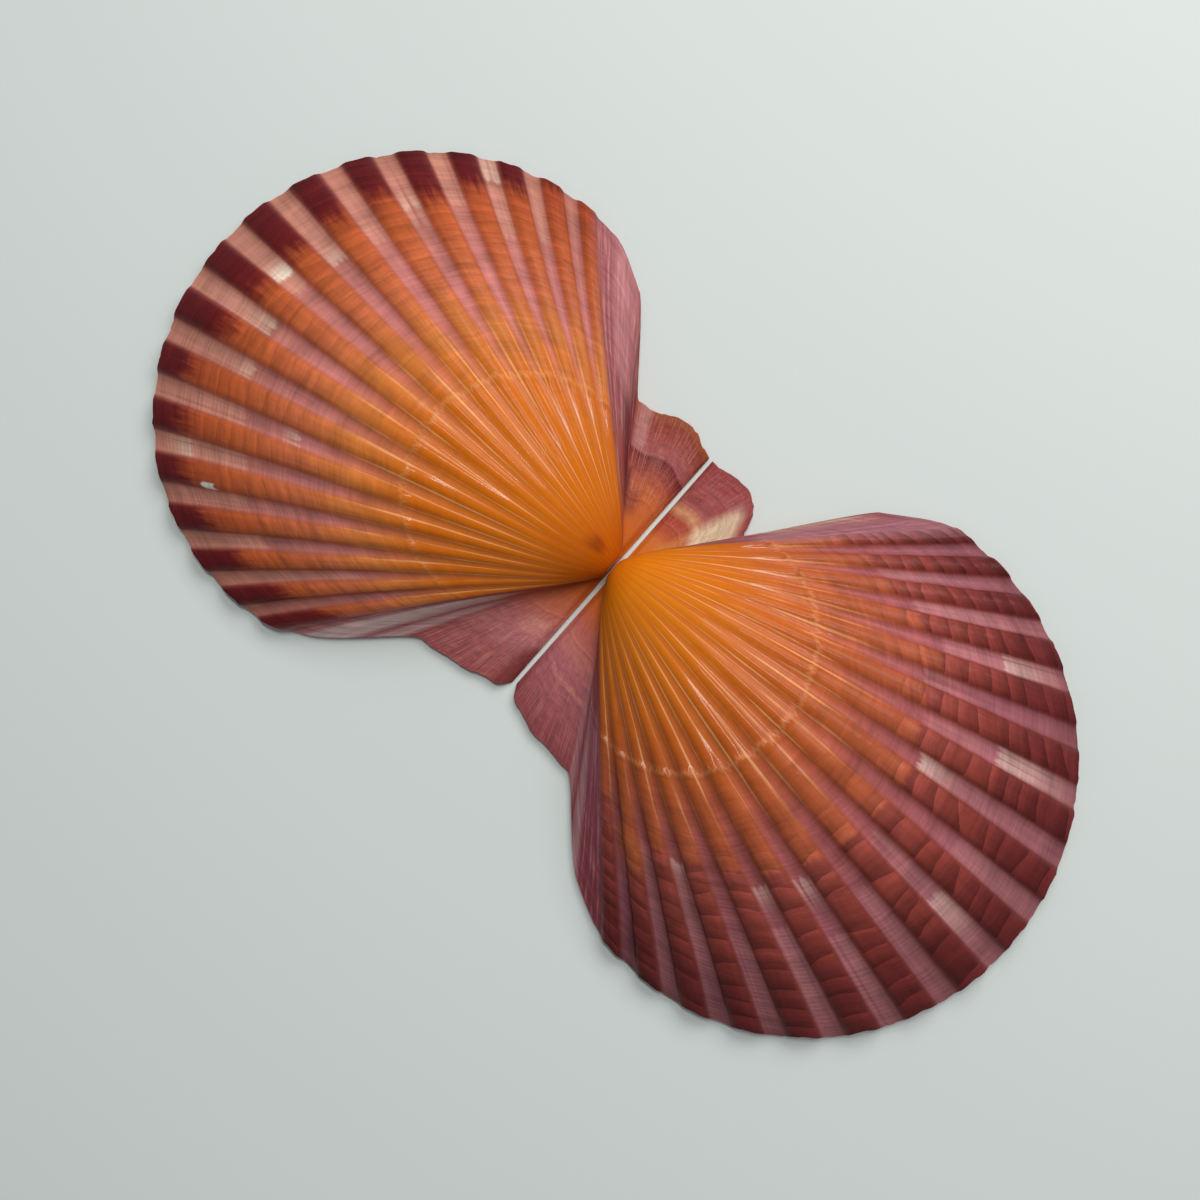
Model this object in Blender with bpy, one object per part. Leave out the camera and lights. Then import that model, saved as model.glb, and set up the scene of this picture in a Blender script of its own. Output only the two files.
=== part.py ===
"""Bay scallop shell: its two halves side by side, hinge line to hinge line, outer sides up.

Lengths are metres and +Z is up. X runs along the hinge towards the front ears, +Y towards the
right half and -Y towards the left half. Each half rests on its margin and its ears at z = 0,
and the origin lies there under the middle of the pair.

A half grows from its umbo, the point at the middle of the hinge. Every growth stage is the final
margin made smaller and turned about the hinge, so the dome is a logarithmic spiral, the ribs
are the paths of single margin points, and the growth lines are the margins of earlier sizes.
"""

import math
from dataclasses import dataclass

import bmesh
import bpy
from mathutils import Vector

# Driving dimensions of the pair
COLLECTION_NAME = "bay_scallop_shell"
HINGE_GAP = 0.00055
EDGE_THICKNESS = 0.0009
WALL_THICKNESS = 0.0011

# The round margin that both halves share: a circle through the umbo, drawn out a little
DISC_HEIGHT = 0.0555
DISC_BROADENING = 0.00245
DISC_SQUARING = 0.00044

# Ribs: rounded ridges, low at the umbo and highest at the margin
RIB_HEIGHT = 0.00085
RIB_REACH = 8
RIB_SHARE = 0.57
RIB_SQUARENESS = 2.2
RIB_START_SIZE = 0.08
RIB_FULL_SIZE = 0.7
INNER_RIB_SHARE = 0.75
INNER_RIB_START_SIZE = 0.35

# Across a flank most of the way from the ear to the disc is steep, and the rest runs on slowly
FLANK_LEAD = 0.8
FLANK_TAIL = 5.0

# The ears turn less than the disc while the shell grows, so that they stay nearly flat
EAR_TURN_SHARE = 0.3
BEAK_TURN = math.radians(92)

# Sizes, from the umbo to the margin, of the growth stages that the mesh follows
GROWTH_STAGES = (0.02, 0.047, 0.08, 0.13, 0.2, 0.29, 0.39, 0.5, 0.61, 0.72, 0.83, 0.93, 1.0)
RIB_COLUMNS = (-0.4, -0.2, 0.2, 0.4)

# Inner face: flat on the surface it rests on near the umbo, hollow further out
HOLLOW_START_SIZE = 0.09
HOLLOW_FULL_SIZE = 0.24

# Small steps of the mesh work
ANGLE_STEP = 0.5
SIZE_STEP = 0.002
COLUMN_CLEARANCE = 0.8
MERGE_DISTANCE = 1e-6


@dataclass(frozen=True)
class Ear:
    """A wing beside the umbo. Angles are degrees from the hinge line, about the umbo."""

    edge: tuple
    flank_start: float
    flank_end: float
    columns: tuple


@dataclass(frozen=True)
class Valve:
    """One half of the shell."""

    name: str
    side: int
    disc_tilt: float
    spiral: float
    rib_centre: float
    rib_pitch: float
    rib_narrowing: float
    front_ear: Ear
    back_ear: Ear
    colour: tuple
    roughness: float


RIGHT_BACK_EAR = Ear(
    edge=((0, 0.0160), (3, 0.0172), (8, 0.0176), (14, 0.0188), (20, 0.0197), (27, 0.0213), (40, 0.0230)),
    flank_start=27.8,
    flank_end=36.2,
    columns=(0, 3, 8, 14, 20, 25, 28, 30, 31.5, 33, 34.5, 36, 38),
)

LEFT_BACK_EAR = Ear(
    edge=((0, 0.0158), (3, 0.0172), (8, 0.0179), (14, 0.0191), (20, 0.0198), (27, 0.0213), (40, 0.0230)),
    flank_start=27.4,
    flank_end=34.4,
    columns=(0, 3, 8, 14, 20, 25, 28, 29.5, 31, 32.5, 34, 35.5, 37.5),
)

NOTCHED_FRONT_EAR = Ear(
    edge=((0, 0.0151), (5, 0.0157), (10, 0.0166), (18, 0.0170), (26, 0.0168), (31, 0.0174), (40, 0.0185)),
    flank_start=32.9,
    flank_end=36.0,
    columns=(0, 4, 10, 16, 22, 28, 31, 33, 34, 34.8, 36, 38, 40.5),
)

PLAIN_FRONT_EAR = Ear(
    edge=((0, 0.0151), (6, 0.0152), (11, 0.0157), (19, 0.0160), (26, 0.0154), (34, 0.0136), (40, 0.0130)),
    flank_start=34.2,
    flank_end=36.6,
    columns=(0, 4, 10, 16, 22, 28, 32, 34.2, 35.1, 35.8, 36.6, 38.2, 40.5),
)

RIGHT_VALVE = Valve(
    name="right_valve",
    side=1,
    disc_tilt=-1.2,
    spiral=1.85,
    rib_centre=93.1,
    rib_pitch=6.55,
    rib_narrowing=0.0016,
    front_ear=NOTCHED_FRONT_EAR,
    back_ear=RIGHT_BACK_EAR,
    colour=(0.55, 0.20, 0.06, 1.0),
    roughness=0.45,
)

LEFT_VALVE = Valve(
    name="left_valve",
    side=-1,
    disc_tilt=0.0,
    spiral=1.95,
    rib_centre=91.3,
    rib_pitch=6.45,
    rib_narrowing=0.0012,
    front_ear=PLAIN_FRONT_EAR,
    back_ear=LEFT_BACK_EAR,
    colour=(0.48, 0.13, 0.05, 1.0),
    roughness=0.45,
)


def blend(start, end, value):
    """Rise smoothly from 0 at start to 1 at end."""
    share = min(max((value - start) / (end - start), 0.0), 1.0)
    return share * share * (3.0 - 2.0 * share)


def smooth_curve(points, at):
    """Height at `at` of a smooth curve through (place, height) points."""
    last = len(points) - 1
    slopes = []
    for index in range(last + 1):
        before = points[max(index - 1, 0)]
        after = points[min(index + 1, last)]
        slopes.append((after[1] - before[1]) / (after[0] - before[0]))
    for index in range(last):
        left, right = points[index], points[index + 1]
        if at <= right[0] or index == last - 1:
            width = right[0] - left[0]
            share = min(max((at - left[0]) / width, 0.0), 1.0)
            rise = share * share * (3.0 - 2.0 * share)
            return (
                left[1] * (1.0 - rise)
                + right[1] * rise
                + slopes[index] * width * share * (1.0 - share) ** 2
                - slopes[index + 1] * width * share * share * (1.0 - share)
            )
    return points[last][1]


def nearer_ear(valve, angle):
    """The ear on the same side as this direction, and the angle from its hinge line."""
    if angle <= 90.0:
        return valve.front_ear, angle
    return valve.back_ear, 180.0 - angle


def disc_share(valve, angle):
    """0 on the ears and 1 on the disc, rising across the flank between them."""
    ear, from_hinge = nearer_ear(valve, angle)
    steep = blend(ear.flank_start, ear.flank_end, from_hinge)
    middle = (ear.flank_start + ear.flank_end) / 2.0
    slow = blend(middle, ear.flank_end + FLANK_TAIL, from_hinge)
    return FLANK_LEAD * steep + (1.0 - FLANK_LEAD) * slow


def margin_radius(valve, angle):
    """Distance from the umbo to the margin in this direction."""
    turn = math.radians(angle - valve.disc_tilt)
    disc = (
        DISC_HEIGHT * math.sin(turn)
        - DISC_BROADENING * math.sin(2.0 * turn)
        + DISC_SQUARING * math.sin(3.0 * turn)
    )
    ear, from_hinge = nearer_ear(valve, angle)
    ear_edge = smooth_curve(ear.edge, from_hinge)
    return ear_edge + (disc - ear_edge) * disc_share(valve, angle)


def rib_number(valve, angle):
    """Place of this direction among the ribs: whole numbers are crests, 0 the middle rib."""
    place = (angle - valve.rib_centre) / valve.rib_pitch
    squared = place * place * valve.rib_narrowing
    return place * (1.0 + squared + 3.0 * squared * squared)


def rib_angle(valve, number):
    """Direction of a place among the ribs."""
    return valve.rib_centre + valve.rib_pitch * number * (1.0 - valve.rib_narrowing * number * number)


def rib_profile(valve, angle):
    """Height of the ribs across their run, from 0 in a groove to 1 on a crest."""
    number = rib_number(valve, angle)
    if abs(number) > RIB_REACH + 0.5:
        return 0.0
    groove_level = -math.cos(math.pi * RIB_SHARE)
    wave = math.tanh(RIB_SQUARENESS * (math.cos(2.0 * math.pi * number) + groove_level))
    top = math.tanh(RIB_SQUARENESS * (1.0 + groove_level))
    bottom = math.tanh(RIB_SQUARENESS * (groove_level - 1.0))
    return (wave - bottom) / (top - bottom)


def smooth_outer_point(valve, angle, size):
    """Outer face without its ribs, at one margin direction and one growth stage."""
    turn_share = EAR_TURN_SHARE + (1.0 - EAR_TURN_SHARE) * disc_share(valve, angle)
    turn = min(-math.log(size) / valve.spiral, BEAK_TURN) * turn_share
    reach = margin_radius(valve, angle) * size
    along = reach * math.cos(math.radians(angle))
    across = reach * math.sin(math.radians(angle))
    height = EDGE_THICKNESS + across * math.sin(turn)
    return Vector((along, across * math.cos(turn), height))


def outward(valve, angle, size):
    """Direction that points out of the shell at this place of its outer face."""
    low_angle = max(angle - ANGLE_STEP, 0.0)
    high_angle = min(angle + ANGLE_STEP, 180.0)
    low_size = size * (1.0 - SIZE_STEP)
    along_margin = smooth_outer_point(valve, high_angle, size) - smooth_outer_point(valve, low_angle, size)
    with_growth = smooth_outer_point(valve, angle, size) - smooth_outer_point(valve, angle, low_size)
    return with_growth.cross(along_margin).normalized()


def outer_point(valve, angle, size):
    """Outer face with its ribs."""
    height = RIB_HEIGHT * blend(RIB_START_SIZE, RIB_FULL_SIZE, size) * rib_profile(valve, angle)
    return smooth_outer_point(valve, angle, size) + outward(valve, angle, size) * height


def inner_point(valve, angle, size):
    """Inner face: hollow under the dome, flat under the ears and the hinge."""
    outer = smooth_outer_point(valve, angle, size)
    hollow = blend(HOLLOW_START_SIZE, HOLLOW_FULL_SIZE, size) * disc_share(valve, angle)
    inset = outward(valve, angle, size) * (WALL_THICKNESS * hollow)
    rib_share = INNER_RIB_SHARE * blend(INNER_RIB_START_SIZE, 1.0, size)
    rib = RIB_HEIGHT * rib_share * rib_profile(valve, angle)
    roof = max((outer.z - inset.z) * hollow, 0.0) if size < 1.0 else 0.0
    return Vector((outer.x - inset.x, outer.y - inset.y, roof + rib))


def margin_directions(valve):
    """Directions that the mesh follows: close together on the flanks and four to a rib."""
    front = list(valve.front_ear.columns)
    back = [180.0 - column for column in valve.back_ear.columns]
    ribs = [
        rib_angle(valve, number + place)
        for number in range(-RIB_REACH, RIB_REACH + 1)
        for place in RIB_COLUMNS
    ]
    first = max(front) + COLUMN_CLEARANCE
    last = min(back) - COLUMN_CLEARANCE
    ribs = [angle for angle in ribs if first < angle < last]
    return sorted(front + ribs + back)


def add_face_sheet(mesh, valve, directions, place, umbo_height):
    """Lay a grid over one face of the half, its first row drawn together at the umbo."""
    stages = (0.0,) + GROWTH_STAGES
    columns, rows = len(directions), len(stages)
    grid = bmesh.ops.create_grid(mesh, x_segments=columns - 1, y_segments=rows - 1, size=1.0)
    for vert in grid["verts"]:
        column = round((vert.co.x + 1.0) * 0.5 * (columns - 1))
        row = round((vert.co.y + 1.0) * 0.5 * (rows - 1))
        if row == 0:
            vert.co = Vector((0.0, 0.0, umbo_height))
            continue
        point = place(valve, directions[column], stages[row])
        point.y *= valve.side
        vert.co = point
    bmesh.ops.remove_doubles(mesh, verts=grid["verts"], dist=MERGE_DISTANCE)


def build_valve(valve, collection, parent):
    """Model one half as a closed thin-walled solid."""
    mesh = bmesh.new()
    directions = margin_directions(valve)
    add_face_sheet(mesh, valve, directions, outer_point, EDGE_THICKNESS)
    add_face_sheet(mesh, valve, directions, inner_point, 0.0)
    open_edges = [edge for edge in mesh.edges if edge.is_boundary]
    bmesh.ops.bridge_loops(mesh, edges=open_edges)
    bmesh.ops.recalc_face_normals(mesh, faces=mesh.faces)

    data = bpy.data.meshes.new(valve.name)
    mesh.to_mesh(data)
    mesh.free()
    data.materials.append(shell_material(valve))
    data.shade_smooth()
    data.set_sharp_from_angle(angle=math.radians(50))

    piece = bpy.data.objects.new(valve.name, data)
    collection.objects.link(piece)
    piece.parent = parent
    piece.location = (0.0, valve.side * HINGE_GAP / 2.0, 0.0)
    return piece


def shell_material(valve):
    """Glossy shell in the half's main colour."""
    material = bpy.data.materials.new(valve.name + "_shell")
    material.use_nodes = True
    surface = material.node_tree.nodes["Principled BSDF"]
    surface.inputs["Base Color"].default_value = valve.colour
    surface.inputs["Roughness"].default_value = valve.roughness
    surface.inputs["Metallic"].default_value = 0.0
    return material


def centre_pair(parent, pieces):
    """Move the pair so that the origin lies under the middle of its bounding box."""
    corners = [piece.location + vert.co for piece in pieces for vert in piece.data.vertices]
    middle_x = (min(corner.x for corner in corners) + max(corner.x for corner in corners)) / 2.0
    middle_y = (min(corner.y for corner in corners) + max(corner.y for corner in corners)) / 2.0
    parent.location = (-middle_x, -middle_y, 0.0)


def main():
    """Build the shell."""
    for thing in list(bpy.data.objects):
        bpy.data.objects.remove(thing)
    collection = bpy.data.collections.new(COLLECTION_NAME)
    bpy.context.scene.collection.children.link(collection)
    umbo = bpy.data.objects.new("umbo", None)
    collection.objects.link(umbo)
    pieces = [build_valve(valve, collection, umbo) for valve in (RIGHT_VALVE, LEFT_VALVE)]
    centre_pair(umbo, pieces)
    bpy.context.view_layer.update()


main()
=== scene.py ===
"""Looks of the bay scallop shell: its two halves side by side, hinge to hinge, outer sides up.

Each half stands for its plain solid with one finely grown mesh. It grows by the same rule: every
growth stage is the final margin made smaller and turned about the hinge. Inside the shape classes
lengths are millimetres and angles are degrees, about the umbo and from the hinge line's front end.
Sizes run from 0 at the umbo to 1 at the margin, and ribs are counted from the middle one.
"""

import logging
import math
from dataclasses import dataclass
from enum import Enum

import bpy
import numpy as np
from mathutils import Matrix, Vector

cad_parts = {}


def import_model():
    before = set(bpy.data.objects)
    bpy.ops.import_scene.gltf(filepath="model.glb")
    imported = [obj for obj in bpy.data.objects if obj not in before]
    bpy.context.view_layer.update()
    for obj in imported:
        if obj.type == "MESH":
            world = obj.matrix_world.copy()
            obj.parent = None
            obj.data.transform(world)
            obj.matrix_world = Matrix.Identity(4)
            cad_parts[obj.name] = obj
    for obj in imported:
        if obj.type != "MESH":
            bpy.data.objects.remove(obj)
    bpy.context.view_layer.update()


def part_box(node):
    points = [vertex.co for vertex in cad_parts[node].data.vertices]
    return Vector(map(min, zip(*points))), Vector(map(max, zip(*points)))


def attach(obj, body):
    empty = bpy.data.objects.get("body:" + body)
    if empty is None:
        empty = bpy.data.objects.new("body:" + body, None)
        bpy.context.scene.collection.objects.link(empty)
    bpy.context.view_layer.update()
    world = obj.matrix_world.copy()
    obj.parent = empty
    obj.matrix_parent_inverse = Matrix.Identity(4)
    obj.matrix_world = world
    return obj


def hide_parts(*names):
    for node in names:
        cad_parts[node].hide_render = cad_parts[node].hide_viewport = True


LOG = logging.getLogger("bay_scallop_shell")
MILLIMETRE = 0.001
MESH_NUMBERS = (
    "growth", "rib", "crest", "disc", "flank", "angle", "inside", "turn", "shade",
    "pale_start", "pale_end", "paleness", "white_start", "white_end", "whiteness",
)

Colour = tuple[float, float, float, float]
Stops = tuple[tuple[float, Colour], ...]
Socket = bpy.types.NodeSocket


def srgb(red: int, green: int, blue: int) -> Colour:
    """Turn a colour of 0 to 255 per channel into Blender's linear values."""
    linear = []
    for value in (red, green, blue):
        share = value / 255.0
        linear.append(share / 12.92 if share <= 0.04045 else ((share + 0.055) / 1.055) ** 2.4)
    return (linear[0], linear[1], linear[2], 1.0)


def colour_run(*stops: tuple[float, int, int, int]) -> Stops:
    """Make a run of colours from stops of size, red, green and blue."""
    return tuple((place, srgb(red, green, blue)) for place, red, green, blue in stops)


def rise(start: float, end: float, value: np.ndarray) -> np.ndarray:
    """Rise smoothly from 0 at start to 1 at end."""
    share = np.clip((value - start) / (end - start), 0.0, 1.0)
    return share * share * (3.0 - 2.0 * share)


def smooth_curve(points: tuple[tuple[float, float], ...], at: np.ndarray) -> np.ndarray:
    """Read a smooth curve through a few points.

    Args:
        points: (place, height) pairs in the order of their places.
        at: Places to read.

    Returns:
        The curve's heights there, level past its ends.
    """
    places, heights = np.array(points).T
    slopes = np.gradient(heights, places, edge_order=1)
    slopes[1:-1] = (heights[2:] - heights[:-2]) / (places[2:] - places[:-2])
    first = np.clip(np.searchsorted(places, at) - 1, 0, len(places) - 2)
    width = places[first + 1] - places[first]
    share = np.clip((at - places[first]) / width, 0.0, 1.0)
    climb = share * share * (3.0 - 2.0 * share)
    bend = slopes[first] * (1.0 - share) - slopes[first + 1] * share
    level = heights[first] * (1.0 - climb) + heights[first + 1] * climb
    return level + bend * width * share * (1.0 - share)


class Wander:
    """Smooth repeatable unevenness over a plane, between -1 and 1, one swing per unit."""

    CELLS = 256

    def __init__(self, seed: int) -> None:
        """Draw the unevenness from a seed."""
        self.table = np.random.default_rng(seed).uniform(-1.0, 1.0, (self.CELLS, self.CELLS))

    def __call__(self, along: np.ndarray, across: np.ndarray | float = 0.0) -> np.ndarray:
        """Read the unevenness at places in the plane."""
        along, across = np.broadcast_arrays(along, across)
        column = np.floor(along).astype(int)
        row = np.floor(across).astype(int)
        share_along = rise(0.0, 1.0, along - column)
        share_across = rise(0.0, 1.0, across - row)
        near = self._row(column, row, share_along)
        far = self._row(column, row + 1, share_along)
        return near * (1.0 - share_across) + far * share_across

    def _row(self, column: np.ndarray, row: np.ndarray, share: np.ndarray) -> np.ndarray:
        """Blend two neighbours in one row of the table."""
        left = self.table[column % self.CELLS, row % self.CELLS]
        right = self.table[(column + 1) % self.CELLS, row % self.CELLS]
        return left * (1.0 - share) + right * share


class Side(Enum):
    """Which way a half lies from the hinge."""

    RIGHT = 1
    LEFT = -1


@dataclass(frozen=True)
class EarShape:
    """A wing beside the umbo: its edge as (angle from the hinge, millimetres from the umbo)."""

    edge: tuple[tuple[float, float], ...]
    flank_start: float
    flank_end: float


RIGHT_BACK_EAR = EarShape(
    edge=((0, 16.0), (3, 17.2), (8, 17.6), (14, 18.8), (20, 19.7), (27, 21.3), (40, 23.0)),
    flank_start=27.8,
    flank_end=36.2,
)

LEFT_BACK_EAR = EarShape(
    edge=((0, 15.8), (3, 17.2), (8, 17.9), (14, 19.1), (20, 19.8), (27, 21.3), (40, 23.0)),
    flank_start=27.4,
    flank_end=34.4,
)

NOTCHED_FRONT_EAR = EarShape(
    edge=((0, 15.1), (5, 15.7), (10, 16.6), (18, 17.0), (26, 16.8), (31, 17.4), (40, 18.5)),
    flank_start=32.9,
    flank_end=36.0,
)

PLAIN_FRONT_EAR = EarShape(
    edge=((0, 15.1), (6, 15.2), (11, 15.7), (19, 16.0), (26, 15.4), (34, 13.6), (40, 13.0)),
    flank_start=34.2,
    flank_end=36.6,
)


@dataclass(frozen=True)
class ValveShape:
    """The growth rule of one half: its margin, its spiral and its ribs."""

    side: Side
    disc_tilt: float
    spiral: float
    rib_centre: float
    rib_pitch: float
    rib_narrowing: float
    front_ear: EarShape
    back_ear: EarShape
    edge_thickness: float = 0.9
    wall: float = 1.1
    disc_height: float = 55.5
    disc_broadening: float = 2.45
    disc_squaring: float = 0.44
    rib_height: float = 0.85
    rib_reach: float = 8.5
    rib_share: float = 0.57
    rib_squareness: float = 2.2
    inner_rib_share: float = 0.75
    arch: float = 0.012
    flank_lead: float = 0.8
    flank_tail: float = 5.0
    ear_turn_share: float = 0.3
    beak_turn: float = math.radians(92)
    look_aside: float = 0.5
    look_back: float = 0.998

    @staticmethod
    def from_hinge(angle: np.ndarray) -> np.ndarray:
        """Angle from the nearer end of the hinge line."""
        return np.minimum(angle, 180.0 - angle)

    def disc_share(self, angle: np.ndarray) -> np.ndarray:
        """0 on the ears and 1 on the disc, rising across the flank between them."""
        shares = []
        for ear in (self.front_ear, self.back_ear):
            steep = rise(ear.flank_start, ear.flank_end, self.from_hinge(angle))
            middle = (ear.flank_start + ear.flank_end) / 2.0
            slow = rise(middle, ear.flank_end + self.flank_tail, self.from_hinge(angle))
            shares.append(self.flank_lead * steep + (1.0 - self.flank_lead) * slow)
        return np.where(angle <= 90.0, *shares)

    def margin_radius(self, angle: np.ndarray) -> np.ndarray:
        """Distance from the umbo to the margin in this direction."""
        turn = np.radians(angle - self.disc_tilt)
        disc = (
            self.disc_height * np.sin(turn)
            - self.disc_broadening * np.sin(2.0 * turn)
            + self.disc_squaring * np.sin(3.0 * turn)
        )
        from_hinge = self.from_hinge(angle)
        front = smooth_curve(self.front_ear.edge, from_hinge)
        back = smooth_curve(self.back_ear.edge, from_hinge)
        ear_edge = np.where(angle <= 90.0, front, back)
        return ear_edge + (disc - ear_edge) * self.disc_share(angle)

    def rib_number(self, angle: np.ndarray) -> np.ndarray:
        """Place among the ribs: whole numbers are crests, 0 the middle rib."""
        place = (angle - self.rib_centre) / self.rib_pitch
        squared = place * place * self.rib_narrowing
        return place * (1.0 + squared + 3.0 * squared * squared)

    def crest(self, angle: np.ndarray) -> np.ndarray:
        """Height of the ribs across their run, from 0 in a groove to 1 on a crest."""
        number = self.rib_number(angle)
        level = -math.cos(math.pi * self.rib_share)
        wave = np.tanh(self.rib_squareness * (np.cos(2.0 * np.pi * number) + level))
        top = math.tanh(self.rib_squareness * (1.0 + level))
        bottom = math.tanh(self.rib_squareness * (level - 1.0))
        return np.where(np.abs(number) > self.rib_reach, 0.0, (wave - bottom) / (top - bottom))

    def rib_rise(self, size: np.ndarray) -> np.ndarray:
        """Share of their full height that the ribs have reached at this size."""
        return rise(0.08, 0.7, size)

    def lag(self, angle: np.ndarray, size: np.ndarray) -> np.ndarray:
        """Share by which a growth line lies nearer to the umbo on a rib than in the grooves."""
        wave = 0.5 + 0.5 * np.cos(2.0 * np.pi * self.rib_number(angle))
        on_ribs = np.abs(self.rib_number(angle)) < self.rib_reach
        return self.arch * wave * on_ribs * self.disc_share(angle) * rise(0.25, 0.6, size)

    def smooth_point(self, angle: np.ndarray, size: np.ndarray) -> np.ndarray:
        """Outer face with no ribs, at these margin directions and growth stages."""
        turn = np.minimum(-np.log(size) / self.spiral, self.beak_turn)
        turn = turn * (self.ear_turn_share + (1.0 - self.ear_turn_share) * self.disc_share(angle))
        reach = self.margin_radius(angle) * size
        along = reach * np.cos(np.radians(angle))
        across = reach * np.sin(np.radians(angle))
        up = self.edge_thickness + across * np.sin(turn)
        return np.stack((along, across * np.cos(turn), up), axis=-1)

    def outward(self, angle: np.ndarray, size: np.ndarray) -> np.ndarray:
        """Unit direction that points out of the shell at this place of its outer face."""
        ahead = self.smooth_point(np.minimum(angle + self.look_aside, 180.0), size)
        behind = self.smooth_point(np.maximum(angle - self.look_aside, 0.0), size)
        growing = self.smooth_point(angle, size) - self.smooth_point(angle, size * self.look_back)
        normal = np.cross(growing, ahead - behind)
        return normal / np.linalg.norm(normal, axis=-1, keepdims=True)

    def inner_point(self, angle: np.ndarray, size: np.ndarray) -> np.ndarray:
        """Inner face: hollow under the dome, flat under the ears and the hinge."""
        outer = self.smooth_point(angle, size)
        hollow = rise(0.09, 0.24, size) * self.disc_share(angle)
        inset = self.outward(angle, size) * (self.wall * hollow)[..., None]
        roof = np.where(size < 1.0, np.maximum((outer[..., 2] - inset[..., 2]) * hollow, 0.0), 0.0)
        rib = self.rib_height * self.inner_rib_share * rise(0.35, 1.0, size) * self.crest(angle)
        return np.stack((outer[..., 0] - inset[..., 0], outer[..., 1] - inset[..., 1], roof + rib), axis=-1)


@dataclass(frozen=True)
class GrowthMark:
    """A pause in growth: the shell swells towards it and steps down past it."""

    size: float
    height: float
    run: float
    on_ribs: float


@dataclass(frozen=True)
class Relief:
    """Fine relief of an outer face, in millimetres above the smooth dome.

    Counts say how many lines or knobs there are from the umbo to the margin. Rows say where in
    the unevenness each kind of relief is read, so that none of them repeats another.
    """

    seed: int
    marks: tuple[GrowthMark, ...]
    line_height: float
    knob_height: float
    knob_start: float
    riblet_height: float
    riblet_pitch: float
    ear_line_height: float
    margin_nick: float
    unevenness: float = 0.003
    squared_share: float = 0.6
    step_run: float = 0.006
    line_count: float = 95.0
    fine_line_share: float = 0.6
    knob_count: float = 27.0
    knob_run: float = 0.1
    ear_line_count: float = 48.0
    line_row: float = 40.0
    fine_line_row: float = 80.0
    knob_row: float = 120.0
    ear_line_row: float = 160.0

    def height(self, shape: ValveShape, angle: np.ndarray, size: np.ndarray) -> np.ndarray:
        """Add up the relief at these margin directions and growth lines."""
        wander = Wander(self.seed)
        uneven = size + self.unevenness * wander(angle / 2.5, 3.0)
        height = self._ribs(shape, angle, size) + self._marks(shape.crest(angle), uneven)
        height = height + self._lines(shape, wander, angle, uneven) * rise(0.3, 0.75, size)
        begun = rise(self.knob_start, self.knob_start + self.knob_run, size)
        height = height + self._knobs(shape, wander, angle, uneven) * begun
        height = height + self._ears(shape, wander, angle, size)
        return height * rise(0.0, 2.0, shape.from_hinge(angle)) * rise(0.02, 0.12, size)

    def nick(self, shape: ValveShape, angle: np.ndarray, size: np.ndarray) -> np.ndarray:
        """Share of the way to the umbo by which the margin is worn back."""
        wander = Wander(self.seed + 1)
        worn = np.maximum(wander(angle * 1.3, 0.5), 0.0) + 0.5 * np.maximum(wander(angle * 3.1, 7.5), 0.0)
        depth = self.margin_nick / shape.margin_radius(angle)
        return depth * worn * rise(0.97, 1.0, size) * rise(0.0, 3.0, shape.from_hinge(angle))

    def _ribs(self, shape: ValveShape, angle: np.ndarray, size: np.ndarray) -> np.ndarray:
        """Ribs, rounded near the umbo and flatter on top towards the margin."""
        crest = shape.crest(angle)
        wave = 0.5 + 0.5 * np.cos(2.0 * np.pi * shape.rib_number(angle))
        rounded = rise(0.08, 0.88, size) * np.where(crest > 0.0, wave, 0.0)
        squared = self.squared_share * rise(0.35, 0.75, size)
        return shape.rib_height * (rounded * (1.0 - squared) + shape.rib_rise(size) * crest * squared)

    def _marks(self, crest: np.ndarray, size: np.ndarray) -> np.ndarray:
        """Growth marks: a slow swell and a sudden step."""
        height = np.zeros_like(size)
        for mark in self.marks:
            swell = rise(mark.size - mark.run, mark.size, size)
            step = 1.0 - rise(mark.size, mark.size + self.step_run, size)
            height = height + mark.height * swell * step * (1.0 - mark.on_ribs + mark.on_ribs * crest)
        return height

    def _lines(self, shape: ValveShape, wander: Wander, angle: np.ndarray, size: np.ndarray) -> np.ndarray:
        """Growth lines of the disc, with finer ones between them."""
        number = shape.rib_number(angle)
        lines = wander(size * self.line_count, number * 0.8 + self.line_row)
        finer = wander(size * 2.0 * self.line_count, number * 1.3 + self.fine_line_row)
        return self.line_height * (lines + self.fine_line_share * finer) * shape.disc_share(angle)

    def _knobs(self, shape: ValveShape, wander: Wander, angle: np.ndarray, size: np.ndarray) -> np.ndarray:
        """Knobs on the ribs' crests, each rib with its own."""
        own = np.round(shape.rib_number(angle)) * 1.7 + self.knob_row
        knobs = np.maximum(wander(size * self.knob_count, own), 0.0)
        return self.knob_height * knobs * shape.crest(angle) ** 2

    def _ears(self, shape: ValveShape, wander: Wander, angle: np.ndarray, size: np.ndarray) -> np.ndarray:
        """Riblets and growth lines of the ears."""
        waves = 0.5 + 0.5 * np.cos(2.0 * np.pi * shape.from_hinge(angle) / self.riblet_pitch)
        worn = rise(0.1, 0.3, size) * (1.0 - 0.5 * rise(0.5, 0.9, size))
        place = size * self.ear_line_count + 0.3 * wander(angle / 3.0, 9.0)
        lines = wander(place, self.ear_line_row + angle / 40.0)
        height = self.riblet_height * waves * worn + self.ear_line_height * lines * rise(0.15, 0.35, size)
        return height * (1.0 - shape.disc_share(angle))


@dataclass(frozen=True)
class PaleStretch:
    """A pale stretch of one groove. Groove 0.5 lies between ribs 0 and 1."""

    groove: float
    start: float
    end: float
    paleness: float


def pale_run(*rows: tuple[float, float, float, float]) -> tuple[PaleStretch, ...]:
    """Make pale stretches from rows of groove, start, end and paleness."""
    return tuple(PaleStretch(*row) for row in rows)


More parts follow.
